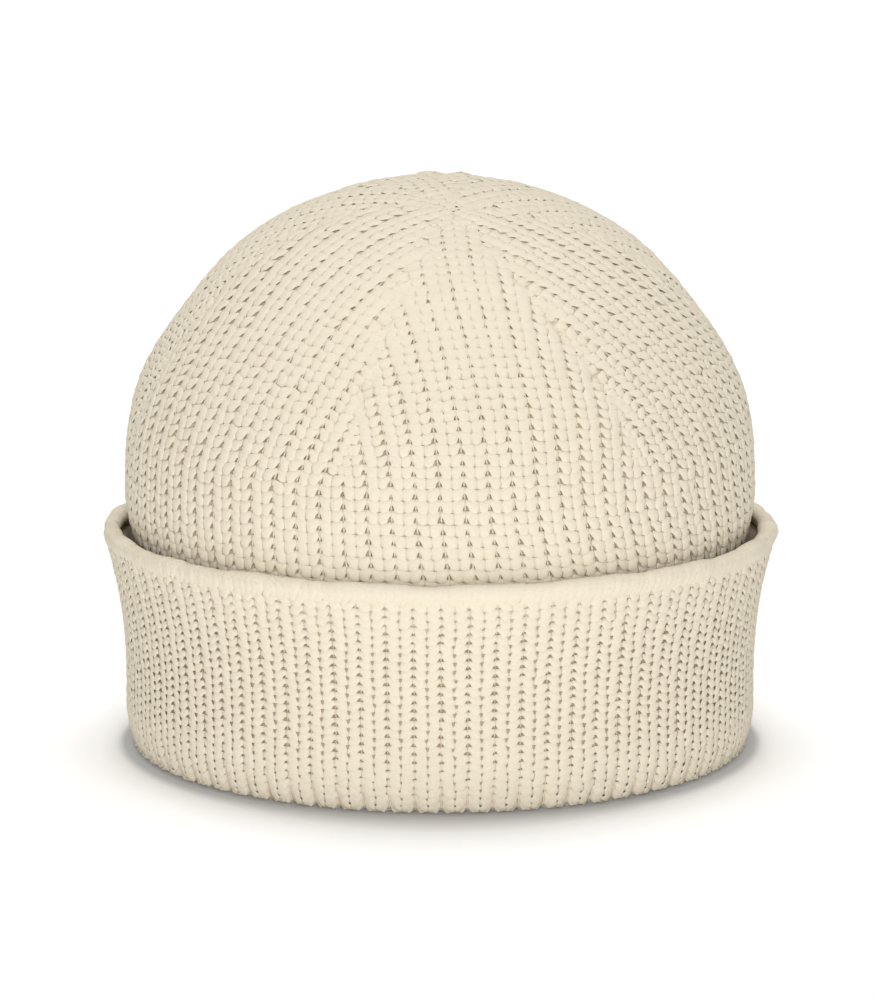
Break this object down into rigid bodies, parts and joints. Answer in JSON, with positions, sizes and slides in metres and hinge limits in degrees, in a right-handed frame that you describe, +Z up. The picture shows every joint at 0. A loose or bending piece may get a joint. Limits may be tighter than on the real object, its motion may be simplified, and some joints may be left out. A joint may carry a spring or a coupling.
{
  "type": "fisherman beanie",
  "caption": "Rib-knit cap: a hollow domed crown that narrows in gores to a gathered pole, with a deep turned-up cuff and a rolled welt. It stands on its folded rim.",
  "frame": {"origin": "on the floor under the middle of the cap's outline, in the plane that the folded rim rests on", "axes": "+Z up through the crown, the front faces -Y, +X to the right of someone who looks at the front"},
  "size_m": [0.1836, 0.2072, 0.1548],
  "materials": {
    "cotton_knit": "matte rib knit in undyed cotton yarn"
  },
  "bodies": {
    "root": {"crown": "cotton_knit", "cuff": "cotton_knit", "cuff_welt": "cotton_knit"}
  },
  "joints": []
}
